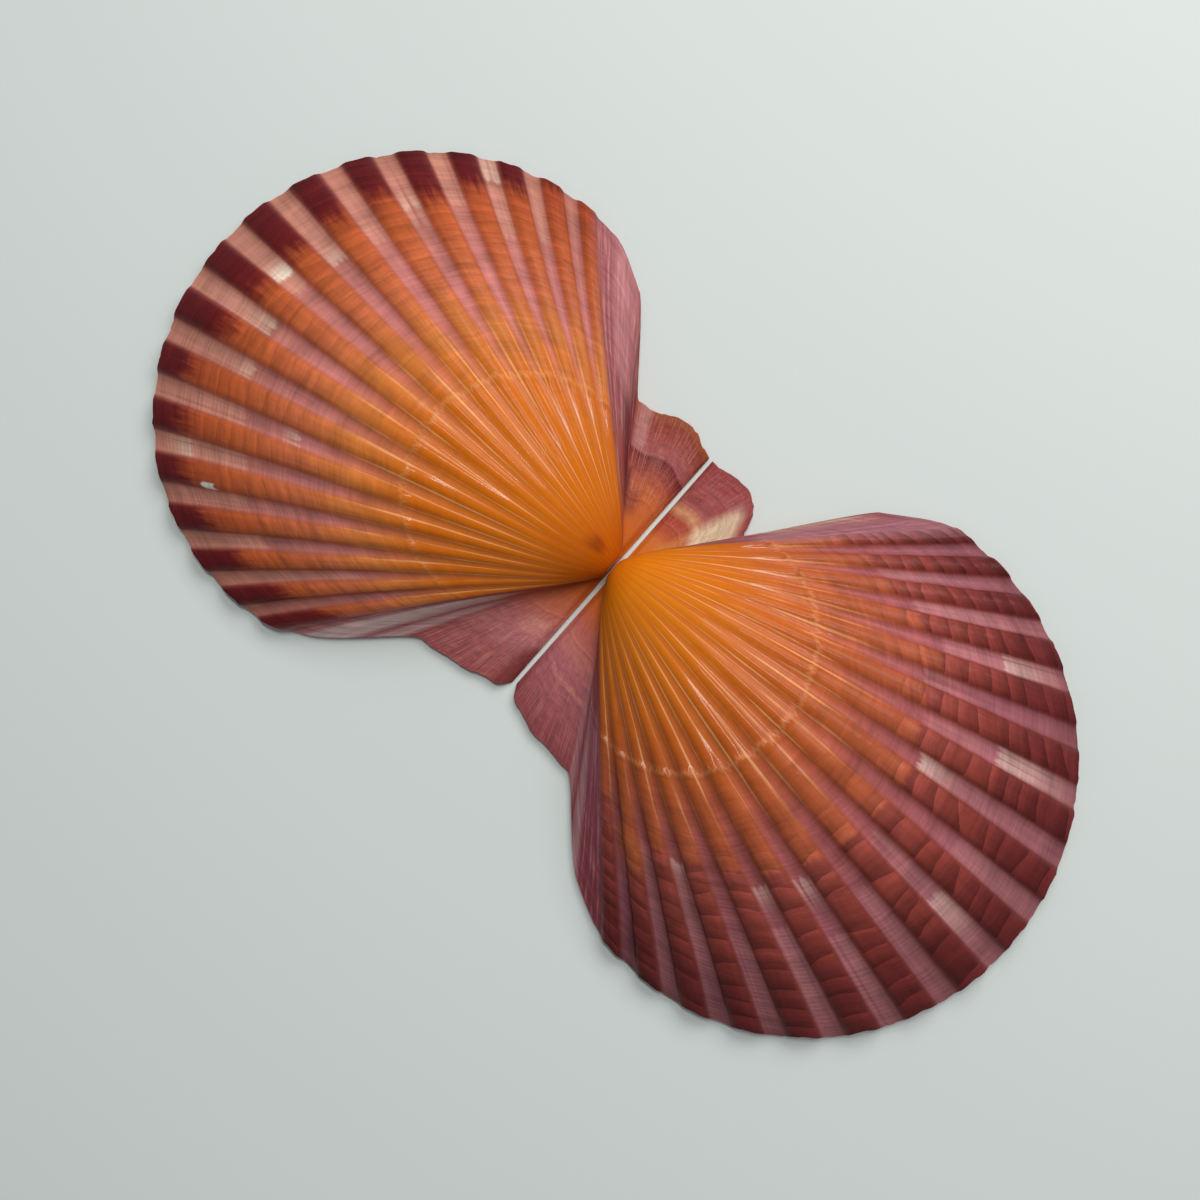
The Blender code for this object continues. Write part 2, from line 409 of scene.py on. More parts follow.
@dataclass(frozen=True)
class Markings:
    """Where the colours of one half change.

    turns holds, for each rib from the front one to the back one, the size at which its inner
    colour turns into its outer one.
    """

    turns: tuple[float, ...]
    pale: tuple[PaleStretch, ...]
    white: tuple[PaleStretch, ...]
    # Per-rib lightness: partly the ribs' own colour, partly painted shade on the back ribs, which face away
    # from the light, and painted light on the left half's front ribs.
    tones: tuple[tuple[float, float], ...]

    def shade(self, number: np.ndarray) -> np.ndarray:
        """How light the rib at this place is, as a share of its colour: partly its own tone, partly painted
        shade on the back ribs and painted light on the left half's front ribs.
        """
        return smooth_curve(self.tones, number)

    def turn(self, number: np.ndarray) -> np.ndarray:
        """Size at which the rib at this place changes colour."""
        reach = len(self.turns) // 2
        index = np.clip(np.round(number).astype(int) + reach, 0, len(self.turns) - 1)
        return np.array(self.turns)[index]

    @staticmethod
    def stretch(stretches: tuple[PaleStretch, ...], number: np.ndarray) -> tuple[np.ndarray, ...]:
        """Look up the pale stretch of the groove at this place.

        Args:
            stretches: The stretches to look through, one to a groove at most.
            number: Places among the ribs.

        Returns:
            The stretch's start, end and paleness at each place, with no paleness where none is.
        """
        groove = np.floor(number) + 0.5
        start, end, paleness = np.ones_like(number), np.ones_like(number), np.zeros_like(number)
        for item in stretches:
            here = groove == item.groove
            start[here], end[here], paleness[here] = item.start, item.end, item.paleness
        return start, end, paleness


@dataclass(frozen=True)
class Blotch:
    """A soft patch of colour over a range of margin directions and sizes."""

    colour: Colour
    angles: tuple[float, float]
    sizes: tuple[float, float]
    strength: float
    angle_softness: float = 3.0
    size_softness: float = 0.04


class NodeSheet:
    """Places nodes in one node tree and links them.

    The mix node has sockets of the same name for each kind of data, so its colour ones are
    found by number.
    """

    MIX_SHARE, MIX_FIRST, MIX_SECOND, MIX_RESULT = 0, 6, 7, 2
    NODES_IN_ROW = 12

    def __init__(self, tree: bpy.types.NodeTree) -> None:
        """Work on this tree."""
        self.tree = tree

    def add(self, kind: str, **settings: object) -> bpy.types.Node:
        """Place a node and set its properties."""
        node = self.tree.nodes.new(kind)
        for name, value in settings.items():
            setattr(node, name, value)
        row, column = divmod(len(self.tree.nodes), self.NODES_IN_ROW)
        node.location = (220.0 * column, -260.0 * row)
        return node

    def feed(self, socket: Socket, value: object) -> None:
        """Link a socket to another one, or set its value."""
        if isinstance(value, Socket):
            self.tree.links.new(value, socket)
        else:
            socket.default_value = value

    def attribute(self, name: str) -> Socket:
        """Read a number kept on the mesh."""
        return self.add("ShaderNodeAttribute", attribute_name=name).outputs["Fac"]

    def math(self, operation: str, *values: object, clamp: bool = False) -> Socket:
        """Calculate with up to three values."""
        node = self.add("ShaderNodeMath", operation=operation, use_clamp=clamp)
        for socket, value in zip(node.inputs, values):
            self.feed(socket, value)
        return node.outputs[0]

    def rise(self, value: object, start: object, end: object) -> Socket:
        """Rise smoothly from 0 at start to 1 at end."""
        node = self.add("ShaderNodeMapRange", interpolation_type="SMOOTHSTEP")
        for name, given in (("Value", value), ("From Min", start), ("From Max", end)):
            self.feed(node.inputs[name], given)
        return node.outputs[0]

    def span(self, value: object, low: float, high: float) -> Socket:
        """Stretch a value of 0 to 1 to run from low to high."""
        node = self.add("ShaderNodeMapRange")
        for name, given in (("Value", value), ("To Min", low), ("To Max", high)):
            self.feed(node.inputs[name], given)
        return node.outputs[0]

    def mix(self, share: object, first: object, second: object, blend: str = "MIX") -> Socket:
        """Mix two colours by a share."""
        node = self.add("ShaderNodeMix", data_type="RGBA", blend_type=blend)
        self.feed(node.inputs[self.MIX_SHARE], share)
        self.feed(node.inputs[self.MIX_FIRST], first)
        self.feed(node.inputs[self.MIX_SECOND], second)
        return node.outputs[self.MIX_RESULT]

    def ramp(self, value: object, stops: Stops) -> Socket:
        """Read a colour from a run of stops."""
        node = self.add("ShaderNodeValToRGB")
        ramp = node.color_ramp
        ramp.interpolation = "LINEAR"
        while len(ramp.elements) < len(stops):
            ramp.elements.new(1.0)
        for element, (place, colour) in zip(ramp.elements, stops):
            element.position = place
            element.color = colour
        self.feed(node.inputs[0], value)
        return node.outputs[0]

    def vector(self, x: object, y: object, z: object) -> Socket:
        """Put three values together."""
        node = self.add("ShaderNodeCombineXYZ")
        for socket, value in zip(node.inputs, (x, y, z)):
            self.feed(socket, value)
        return node.outputs[0]

    def noise(self, place: object, scale: float, detail: float = 2.0, rough: float = 0.5) -> Socket:
        """Read cloudy noise at a place."""
        node = self.add("ShaderNodeTexNoise")
        for name, given in (("Vector", place), ("Scale", scale), ("Detail", detail), ("Roughness", rough)):
            self.feed(node.inputs[name], given)
        return node.outputs["Fac"]

    def group(self, tree: bpy.types.NodeTree, **values: object) -> dict[str, Socket]:
        """Place a node group with its own values and return its outputs by name."""
        node = self.add("ShaderNodeGroup", node_tree=tree)
        for name, value in values.items():
            self.feed(node.inputs[name.replace("_", " ")], value)
        return {socket.name: socket for socket in node.outputs}


class Effects:
    """The node groups that both halves' materials use, each built once."""

    def __init__(self) -> None:
        """Build every group."""
        self.growth_lines = self._growth_lines()
        self.rib_streaks = self._rib_streaks()
        self.border = self._border()
        self.groove_beads = self._groove_beads()
        self.patch = self._patch()
        self.growth_steps = self._growth_steps()
        self.within = self._within()

    @staticmethod
    def _start(
        name: str, inputs: tuple[str, ...], outputs: tuple[str, ...]
    ) -> tuple[bpy.types.NodeTree, NodeSheet, dict[str, Socket], bpy.types.Node]:
        """Make an empty group.

        Args:
            name: The group's name.
            inputs: Names of its number inputs.
            outputs: Names of its number outputs.

        Returns:
            The tree, a sheet to place nodes on, the input sockets by name and the output node.
        """
        tree = bpy.data.node_groups.new(name, "ShaderNodeTree")
        for item in inputs:
            tree.interface.new_socket(name=item, in_out="INPUT", socket_type="NodeSocketFloat")
        for item in outputs:
            tree.interface.new_socket(name=item, in_out="OUTPUT", socket_type="NodeSocketFloat")
        sheet = NodeSheet(tree)
        given = {socket.name: socket for socket in sheet.add("NodeGroupInput").outputs if socket.name}
        return tree, sheet, given, sheet.add("NodeGroupOutput")

    def _growth_lines(self) -> bpy.types.NodeTree:
        """Fine lines along earlier margins, uneven in strength and spacing."""
        tree, sheet, given, result = self._start(
            "growth_lines", ("Growth", "Rib", "Lines", "Waver"), ("Height", "Shade")
        )
        swing = sheet.noise(sheet.vector(given["Rib"], 3.3, 0.0), 1.7)
        waver = sheet.math("MULTIPLY", swing, given["Waver"])
        place = sheet.math("MULTIPLY_ADD", given["Growth"], given["Lines"], waver)
        across = sheet.math("MULTIPLY", given["Rib"], 0.6)
        fine = sheet.noise(sheet.vector(place, across, 0.0), 1.0, 3.0, 0.7)
        broad = sheet.noise(sheet.vector(sheet.math("MULTIPLY", place, 0.22), given["Rib"], 4.0), 1.0, 2.0)
        sheet.feed(result.inputs["Height"], fine)
        sheet.feed(result.inputs["Shade"], sheet.math("ADD", fine, sheet.math("SUBTRACT", broad, 0.5)))
        return tree

    def _rib_streaks(self) -> bpy.types.NodeTree:
        """Fine streaks that run lengthwise, from the umbo to the margin."""
        tree, sheet, given, result = self._start("rib_streaks", ("Rib", "Growth", "Streaks"), ("Shade",))
        across = sheet.math("MULTIPLY", given["Rib"], given["Streaks"])
        along = sheet.math("MULTIPLY", given["Growth"], 5.0)
        sheet.feed(result.inputs["Shade"], sheet.noise(sheet.vector(across, along, 2.0), 1.0, 3.0, 0.6))
        return tree

    def _border(self) -> bpy.types.NodeTree:
        """A border across the growth, wandering a little from place to place."""
        tree, sheet, given, result = self._start(
            "growth_border", ("Growth", "Rib", "Border", "Softness", "Unevenness"), ("Mask",)
        )
        across = sheet.math("MULTIPLY", given["Rib"], 6.0)
        along = sheet.math("MULTIPLY", given["Growth"], 9.0)
        coarse = sheet.noise(sheet.vector(across, along, 8.0), 1.0, 3.0, 0.6)
        shift = sheet.math("MULTIPLY", sheet.math("SUBTRACT", coarse, 0.5), given["Unevenness"])
        shifted = sheet.math("ADD", given["Growth"], shift)
        half = sheet.math("MULTIPLY", given["Softness"], 0.5)
        start = sheet.math("SUBTRACT", given["Border"], half)
        end = sheet.math("ADD", given["Border"], half)
        sheet.feed(result.inputs["Mask"], sheet.rise(shifted, start, end))
        return tree

    def _groove_beads(self) -> bpy.types.NodeTree:
        """Close-set little bars across the grooves."""
        tree, sheet, given, result = self._start("groove_beads", ("Growth", "Rib", "Count"), ("Height",))
        along = sheet.math("MULTIPLY", given["Growth"], 30.0)
        uneven = sheet.math("MULTIPLY", sheet.noise(sheet.vector(along, given["Rib"], 1.0), 1.0), 9.0)
        phase = sheet.math("MULTIPLY_ADD", given["Growth"], given["Count"], uneven)
        wave = sheet.math("SINE", phase)
        sheet.feed(result.inputs["Height"], sheet.math("MULTIPLY_ADD", wave, 0.5, 0.5))
        return tree

    def _patch(self) -> bpy.types.NodeTree:
        """A stretch of growth that starts abruptly and fades towards its end."""
        tree, sheet, given, result = self._start(
            "growth_patch", ("Growth", "Rib", "Start", "End", "Strength"), ("Mask",)
        )
        across = sheet.math("MULTIPLY", given["Rib"], 9.0)
        ragged = sheet.noise(sheet.vector(across, given["Growth"], 6.0), 1.0)
        shifted = sheet.math("MULTIPLY_ADD", ragged, 0.036, sheet.math("SUBTRACT", given["Growth"], 0.018))
        begun = sheet.rise(shifted, given["Start"], sheet.math("ADD", given["Start"], 0.012))
        over = sheet.rise(shifted, given["Start"], given["End"])
        inside = sheet.math("MULTIPLY", begun, sheet.math("SUBTRACT", 1.0, over))
        streaky = sheet.math("MULTIPLY", sheet.rise(ragged, 0.28, 0.5), given["Strength"])
        sheet.feed(result.inputs["Mask"], sheet.math("MULTIPLY", inside, streaky))
        return tree

    def _growth_steps(self) -> bpy.types.NodeTree:
        """Overlapping plates along a rib: a slow rise, then a sudden drop, different on every rib."""
        tree, sheet, given, result = self._start("growth_steps", ("Growth", "Rib", "Count"), ("Rise",))
        whole = sheet.math("MULTIPLY", sheet.math("ROUND", given["Rib"]), 5.3)
        within = sheet.math("MULTIPLY", given["Rib"], 0.35)
        place = sheet.vector(sheet.math("MULTIPLY", given["Growth"], 6.0), whole, within)
        waver = sheet.math("MULTIPLY", sheet.noise(place, 1.0, 1.0), 3.0)
        phase = sheet.math("MULTIPLY_ADD", given["Growth"], given["Count"], waver)
        sheet.feed(result.inputs["Rise"], sheet.math("FRACT", phase))
        return tree

    def _within(self) -> bpy.types.NodeTree:
        """1 inside a range and 0 outside of it, with soft ends."""
        inputs = ("Value", "Start", "End", "Softness")
        tree, sheet, given, result = self._start("within_range", inputs, ("Mask",))
        masks = []
        for end in ("Start", "End"):
            low = sheet.math("MULTIPLY_ADD", given["Softness"], -0.5, given[end])
            high = sheet.math("MULTIPLY_ADD", given["Softness"], 0.5, given[end])
            masks.append(sheet.rise(given["Value"], low, high))
        sheet.feed(result.inputs["Mask"], sheet.math("SUBTRACT", masks[0], masks[1]))
        return tree


@dataclass(frozen=True)
class ShellFinish:
    """Colours and gloss of one half. Each run of colours goes from the umbo to the margin.

    Counts are per whole growth or per rib, depths are metres, and tones are shares of the colour.
    """

    name: str
    ribs: Stops
    outer_ribs: Stops
    grooves: Stops
    groove_sides: Stops
    flank: Stops
    front_ear: Stops
    back_ear: Stops
    inside: Stops
    pale: Colour
    white: Colour
    blotches: tuple[Blotch, ...]
    turn_softness: float
    turn_unevenness: float
    step_count: float
    step_tone: float
    step_depth: float
    line_count: float = 120.0
    line_waver: float = 2.0
    line_depth: float = 0.00003
    line_tone: float = 0.75
    streak_count: float = 9.0
    streak_depth: float = 0.000018
    streak_tone: float = 0.5
    bead_count: float = 700.0
    bead_depth: float = 0.00002
    # Thin bright lines along the rib edges: partly pale colour, partly painted highlight.
    pale_edge_and_highlight_colour: Colour = srgb(252, 196, 140)
    pale_edge_and_highlight_strength: float = 0.55
    flank_streaks: float = 0.5
    ear_rays: float = 0.35
    umbo_gloss: float = 0.22
    margin_gloss: float = 0.1
    ear_gloss_share: float = 0.15
    coat_roughness: float = 0.1
    specular: float = 0.09
    roughness: float = 0.4
    line_roughness: float = 0.2

    def material(self, effects: Effects) -> bpy.types.Material:
        """Build the material.

        Args:
            effects: The shared node groups.

        Returns:
            A material that reads the numbers kept on the half's mesh.
        """
        material = bpy.data.materials.new(self.name)
        material.use_nodes = True
        surface = material.node_tree.nodes["Principled BSDF"]
        sheet = NodeSheet(material.node_tree)
        paint = ShellPaint(self, sheet, effects)
        sheet.feed(surface.inputs["Base Color"], paint.colour())
        sheet.feed(surface.inputs["Roughness"], paint.roughness())
        sheet.feed(surface.inputs["Coat Weight"], paint.gloss())
        sheet.feed(surface.inputs["Normal"], paint.relief())
        surface.inputs["Coat Roughness"].default_value = self.coat_roughness
        surface.inputs["Specular IOR Level"].default_value = self.specular
        return material


class ShellPaint:
    """Draws a finish with the nodes of one material, from the numbers kept on the half's mesh."""

    def __init__(self, finish: ShellFinish, sheet: NodeSheet, effects: Effects) -> None:
        """Read the mesh's numbers and place the effects that colour and relief share."""
        self.finish = finish
        self.sheet = sheet
        self.effects = effects
        self.read = {name: sheet.attribute(name) for name in MESH_NUMBERS}
        self.growth = self.read["growth"]
        self.crest = self.read["crest"]
        self.place = {"Growth": self.growth, "Rib": self.read["rib"]}
        self.lines = sheet.group(
            effects.growth_lines, **self.place, Lines=finish.line_count, Waver=finish.line_waver
        )
        self.streaks = sheet.group(effects.rib_streaks, **self.place, Streaks=finish.streak_count)["Shade"]
        self.streaked = sheet.rise(self.streaks, 0.45, 0.7)
        self.steps = sheet.group(effects.growth_steps, **self.place, Count=finish.step_count)["Rise"]
        grown = sheet.rise(self.growth, 0.55, 0.72)
        self.plated = sheet.math("MULTIPLY", sheet.rise(self.crest, 0.5, 0.9), grown)

    def colour(self) -> Socket:
        """Colour of the half, outside and inside."""
        outer = self.sheet.mix(self.read["disc"], self._ears(), self._disc())
        for blotch in self.finish.blotches:
            outer = self.sheet.mix(self._blotch_mask(blotch), outer, blotch.colour)
        outer = self._toned(outer, self._line_tone())
        outer = self._toned(outer, self._plate_tone())
        inner = self.sheet.ramp(self.growth, self.finish.inside)
        return self.sheet.mix(self.read["inside"], outer, inner)

    def roughness(self) -> Socket:
        """Roughness, a little uneven along the growth lines."""
        return self.sheet.math(
            "MULTIPLY_ADD", self.lines["Shade"], self.finish.line_roughness, self.finish.roughness
        )

    def gloss(self) -> Socket:
        """Weight of the coat: glossiest near the umbo and dull on the ears."""
        fading = self.sheet.rise(self.growth, 0.4, 0.72)
        gloss = self.sheet.span(fading, self.finish.umbo_gloss, self.finish.margin_gloss)
        share = self.sheet.span(self.read["disc"], self.finish.ear_gloss_share, 1.0)
        return self.sheet.math("MULTIPLY", gloss, share)

    def relief(self) -> Socket:
        """The finest relief of the outer face: growth lines, streaks, beads in the grooves and plates."""
        sheet, finish = self.sheet, self.finish
        line_depth = sheet.math("MULTIPLY", sheet.rise(self.growth, 0.12, 0.6), finish.line_depth)
        lines = sheet.math("MULTIPLY", self.lines["Height"], line_depth)
        streaks = sheet.math("MULTIPLY", self.streaks, finish.streak_depth)
        beads = sheet.group(self.effects.groove_beads, **self.place, Count=finish.bead_count)["Height"]
        grown = sheet.rise(self.growth, 0.45, 0.8)
        in_groove = sheet.math("MULTIPLY", sheet.rise(self.crest, 0.5, 0.1), grown)
        beads = sheet.math("MULTIPLY", sheet.math("MULTIPLY", beads, in_groove), finish.bead_depth)
        plates = sheet.math("MULTIPLY", sheet.math("MULTIPLY", self.steps, self.plated), finish.step_depth)
        total = sheet.math("ADD", lines, sheet.math("ADD", streaks, beads))
        total = sheet.math("ADD", total, plates)
        node = sheet.add("ShaderNodeBump")
        node.inputs["Distance"].default_value = 1.0
        outside = sheet.math("SUBTRACT", 1.0, self.read["inside"])
        sheet.feed(node.inputs["Height"], sheet.math("MULTIPLY", total, outside))
        return node.outputs[0]

    def _disc(self) -> Socket:
        """Colour of the disc: ribs, grooves with their sides, bright rib edges (partly pale colour, partly
        painted highlight) and flanks.
        """
        sheet, finish = self.sheet, self.finish
        turned = sheet.group(
            self.effects.border,
            **self.place,
            Border=self.read["turn"],
            Softness=finish.turn_softness,
            Unevenness=finish.turn_unevenness,
        )["Mask"]
        outer_ribs = sheet.ramp(self.growth, finish.outer_ribs)
        ribs = sheet.mix(turned, sheet.ramp(self.growth, finish.ribs), outer_ribs)
        narrowed = sheet.math("ADD", self.crest, sheet.span(sheet.rise(self.growth, 0.3, 0.68), 0.45, 0.0))
        height = sheet.math("MULTIPLY_ADD", sheet.math("SUBTRACT", self.streaks, 0.5), 0.5, narrowed)
        sides = sheet.ramp(self.growth, finish.groove_sides)
        low = sheet.mix(sheet.rise(height, 0.05, 0.6), self._grooves(), sides)
        disc = sheet.mix(sheet.rise(height, 0.2, 0.9), low, ribs)
        # Painted highlight, partly pale colour, along the rib edges.
        disc = sheet.mix(self._pale_edge_and_highlight_mask(), disc, finish.pale_edge_and_highlight_colour)
        streaked = sheet.math("MULTIPLY", self.streaked, finish.flank_streaks)
        flank = sheet.mix(streaked, sheet.ramp(self.growth, finish.flank), finish.pale)
        return sheet.mix(self.read["flank"], disc, flank)

    def _grooves(self) -> Socket:
        """Colour of the groove floors, with their pale and white stretches."""
        grooves = self.sheet.ramp(self.growth, self.finish.grooves)
        for kind, colour in (("pale", self.finish.pale), ("white", self.finish.white)):
            mask = self.sheet.group(
                self.effects.patch,
                **self.place,
                Start=self.read[kind + "_start"],
                End=self.read[kind + "_end"],
                Strength=self.read[kind + "ness"],
            )["Mask"]
            grooves = self.sheet.mix(mask, grooves, colour)
        return grooves

    def _pale_edge_and_highlight_mask(self) -> Socket:
        """Where thin bright lines are painted along the ribs' edges on the inner half of the growth: partly
        pale colour, partly painted highlight where the rib shoulders catch the light.
        """
        sheet = self.sheet
        edges = self._within(self.crest, (0.3, 0.75), 0.3)
        young = self._within(self.growth, (0.2, 0.54), 0.2)
        broken = sheet.math("MULTIPLY", sheet.rise(self.streaks, 0.42, 0.58), self.finish.pale_edge_and_highlight_strength)
        return sheet.math("MULTIPLY", sheet.math("MULTIPLY", edges, young), broken)

    def _ears(self) -> Socket:
        """Colour of the two ears, with pale rays."""
        sheet, finish = self.sheet, self.finish
        front = sheet.ramp(self.growth, finish.front_ear)
        back = sheet.ramp(self.growth, finish.back_ear)
        ears = sheet.mix(sheet.rise(self.read["angle"], 81.0, 99.0), front, back)
        rays = sheet.math("MULTIPLY", self.streaked, sheet.rise(self.growth, 0.2, 0.5))
        return sheet.mix(sheet.math("MULTIPLY", rays, finish.ear_rays), ears, finish.pale)

    def _blotch_mask(self, blotch: Blotch) -> Socket:
        """Where one soft patch of colour lies."""
        sheet = self.sheet
        uneven = sheet.math("MULTIPLY_ADD", sheet.math("SUBTRACT", self.streaks, 0.5), 0.05, self.growth)
        around = self._within(self.read["angle"], blotch.angles, blotch.angle_softness)
        along = self._within(uneven, blotch.sizes, blotch.size_softness)
        return sheet.math("MULTIPLY", sheet.math("MULTIPLY", around, along), blotch.strength)

    def _within(self, value: Socket, ends: tuple[float, float], softness: float) -> Socket:
        """1 where a value lies between two ends and 0 elsewhere."""
        values = {"Value": value, "Start": ends[0], "End": ends[1], "Softness": softness}
        return self.sheet.group(self.effects.within, **values)["Mask"]

    def _line_tone(self) -> Socket:
        """How light the growth lines and streaks leave the colour, more so away from the umbo."""
        sheet, finish = self.sheet, self.finish
        lines = sheet.math("MULTIPLY", self.lines["Shade"], finish.line_tone)
        change = sheet.math("ADD", lines, sheet.math("MULTIPLY", self.streaks, finish.streak_tone))
        around = sheet.math("SUBTRACT", change, (finish.line_tone + finish.streak_tone) / 2.0)
        worn_in = sheet.span(sheet.rise(self.growth, 0.2, 0.65), 0.1, 1.0)
        return sheet.math("MULTIPLY_ADD", around, worn_in, 1.0)

    def _plate_tone(self) -> Socket:
        """How light the plates and each rib's tone leave the colour; that tone is partly the rib's own and
        partly painted shade and painted light.
        """
        sheet = self.sheet
        fade = sheet.math("MULTIPLY", sheet.math("SUBTRACT", 0.45, self.steps), self.finish.step_tone)
        plates = sheet.math("MULTIPLY_ADD", fade, self.plated, 1.0)
        return sheet.math("MULTIPLY", plates, self.read["shade"])

    def _toned(self, colour: Socket, tone: Socket) -> Socket:
        """Make a colour lighter or darker."""
        return self.sheet.mix(1.0, colour, self.sheet.vector(tone, tone, tone), blend="MULTIPLY")


@dataclass
class ShellHalf:
    """One half of the shell, as a fine closed mesh that stands for its solid."""

    name: str
    shape: ValveShape
    relief: Relief
    markings: Markings
    finish: ShellFinish
    columns: int = 440
    rows: int = 170
    first_size: float = 0.008
    rim_rows: int = 4
    rim_bulge: float = 0.12
    inner_step: int = 4
    inner_start: int = 9
    hinge_round: float = 0.7
    hinge_drop: float = 0.5
    ear_density: float = 0.8
    flank_density: float = 0.8
    sharp_angle: float = math.radians(60)

    def directions(self) -> np.ndarray:
        """Margin directions of the mesh's columns, spaced along the margin and closer on the flanks."""
        angle = np.linspace(0.0, 180.0, 7201)
        radius = self.shape.margin_radius(angle)
        arc = np.hypot(np.diff(radius), radius[1:] * np.radians(np.diff(angle)))
        share = self.shape.disc_share(angle)[1:]
        steep = share * (1.0 - share) * 4.0
        arc = arc * (self.ear_density + (1.0 - self.ear_density) * share + self.flank_density * steep)
        walked = np.concatenate(([0.0], np.cumsum(arc)))
        return np.interp(np.linspace(0.0, walked[-1], self.columns), walked, angle)

    def build(self, effects: Effects) -> bpy.types.Object:
        """Make the mesh, put it where the solid is and dress it.

        Args:
            effects: The shared node groups.

        Returns:
            The finished piece.
        """
        directions = self.directions()
        sizes = np.linspace(self.first_size, 1.0, self.rows)
        inner_rows = list(range(self.inner_start, self.rows - 1, self.inner_step)) + [self.rows - 1]
        outer = self._outer_sheet(directions, sizes)
        inner = self._inner_sheet(directions, sizes[inner_rows])
        rim = self._rim(outer[-1], inner[-1])
        grid = np.concatenate((outer, rim, inner[::-1]))
        growth = np.concatenate((sizes, np.ones(self.rim_rows), sizes[inner_rows][::-1]))
        over_the_rim = np.linspace(0.0, 1.0, self.rim_rows)
        inside = np.concatenate((np.zeros(self.rows), over_the_rim, np.ones(len(inner_rows))))
        points = np.concatenate((grid.reshape(-1, 3), self._poles()))
        points[:, 1] *= self.shape.side.value
        points = (points + self._place()) * MILLIMETRE

        mesh = bpy.data.meshes.new(self.name)
        mesh.from_pydata(points.tolist(), [], self._faces(len(grid), inner_rows))
        mesh.validate()
        for kind, values in self._numbers(directions, growth, inside).items():
            attribute = mesh.attributes.new(kind, "FLOAT", "POINT")
            attribute.data.foreach_set("value", values.astype(np.float32))
        mesh.materials.append(self.finish.material(effects))
        mesh.shade_smooth()
        mesh.set_sharp_from_angle(angle=self.sharp_angle)
        piece = bpy.data.objects.new("fine_" + self.name, mesh)
        bpy.context.scene.collection.objects.link(piece)
        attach(piece, "root")
        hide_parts(self.name)
        triangles = sum(len(face.vertices) - 2 for face in mesh.polygons)
        LOG.info("%s: %d triangles", piece.name, triangles)
        return piece

    def _outer_sheet(self, directions: np.ndarray, sizes: np.ndarray) -> np.ndarray:
        """Outer face with all its relief."""
        angle, line = np.meshgrid(directions, sizes)
        size = line * (1.0 - self.relief.nick(self.shape, angle, line) - self.shape.lag(angle, line))
        height = self.relief.height(self.shape, angle, line)
        sheet = self.shape.smooth_point(angle, size) + self.shape.outward(angle, size) * height[..., None]
        on_ears = 1.0 - self.shape.disc_share(angle)
        near_hinge = (1.0 - rise(0.0, self.hinge_round, sheet[..., 1])) * on_ears
        sheet[..., 2] -= self.hinge_drop * near_hinge
        return sheet

    def _inner_sheet(self, directions: np.ndarray, sizes: np.ndarray) -> np.ndarray:
        """Inner face."""
        angle, size = np.meshgrid(directions, sizes)
        sheet = self.shape.inner_point(angle, size)
        worn = 1.0 - self.relief.nick(self.shape, angle, size) - self.shape.lag(angle, size)
        sheet[..., :2] *= worn[..., None]
        return sheet

    def _rim(self, outer_edge: np.ndarray, inner_edge: np.ndarray) -> np.ndarray:
        """Rounded edge between the two faces."""
        share = (np.arange(1, self.rim_rows + 1) / (self.rim_rows + 1))[:, None, None]
        away = outer_edge * (1.0, 1.0, 0.0)
        away = away / np.linalg.norm(away, axis=-1, keepdims=True)
        bulge = away * self.rim_bulge * np.sin(np.pi * share)
        return outer_edge * (1.0 - share) + inner_edge * share + bulge

    def _poles(self) -> np.ndarray:
        """The umbo on the outer face and under it."""
        return np.array(((0.0, 0.0, self.shape.edge_thickness - self.hinge_drop), (0.0, 0.0, 0.0)))

    def _place(self) -> np.ndarray:
        """Where the umbo goes, in millimetres, so that the half's far edges lie on its solid's."""
        angle = np.linspace(0.0, 180.0, 2001)
        size = np.ones_like(angle)
        lift = self.shape.outward(angle, size) * (self.shape.rib_height * self.shape.crest(angle))[:, None]
        edge = self.shape.smooth_point(angle, size) + lift
        low, high = (np.array(corner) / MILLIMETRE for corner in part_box(self.name))
        along = (low[0] + high[0] - edge[:, 0].min() - edge[:, 0].max()) / 2.0
        reach = edge[:, 1].max()
        across = high[1] - reach if self.shape.side is Side.RIGHT else low[1] + reach
        return np.array((along, across, 0.0))

    def _faces(self, grid_rows: int, inner_rows: list[int]) -> list[tuple[int, ...]]:
        """Faces of the closed mesh: the grid, the two poles and the walls along the hinge."""
        columns = self.columns
        row, column = np.meshgrid(np.arange(grid_rows - 1), np.arange(columns - 1), indexing="ij")
        corner = (row * columns + column).ravel()
        quads = np.stack((corner, corner + columns, corner + columns + 1, corner + 1), axis=-1)
        faces = [tuple(quad) for quad in quads.tolist()]
        outer_pole = grid_rows * columns
        inner_pole = outer_pole + 1
        last = (grid_rows - 1) * columns
        faces += [(outer_pole, spot, spot + 1) for spot in range(columns - 1)]
        faces += [(inner_pole, last + spot + 1, last + spot) for spot in range(columns - 1)]
        for edge in (0, columns - 1):
            walls = self._hinge_wall(edge, grid_rows, inner_rows, outer_pole, inner_pole)
            faces += walls if edge else [wall[::-1] for wall in walls]
        if self.shape.side is Side.LEFT:
            faces = [face[::-1] for face in faces]
        return faces

    def _hinge_wall(
        self, edge: int, grid_rows: int, inner_rows: list[int], outer_pole: int, inner_pole: int
    ) -> list[tuple[int, ...]]:
        """Wall along one half of the hinge line, between the edges of the two faces."""
        stops = [None] + inner_rows
        walls = []
        for step, (start, end) in enumerate(zip(stops, stops[1:])):
            outer_rows = range(0 if start is None else start, end + 1)
            chain = [row * self.columns + edge for row in outer_rows]
            if start is None:
                chain.insert(0, outer_pole)
            if end == inner_rows[-1]:
                chain += [(self.rows + row) * self.columns + edge for row in range(self.rim_rows)]
            inner = (grid_rows - 1 - step) * self.columns + edge
            back = inner_pole if start is None else (grid_rows - step) * self.columns + edge
            walls.append(tuple(chain + [inner, back]))
        return walls

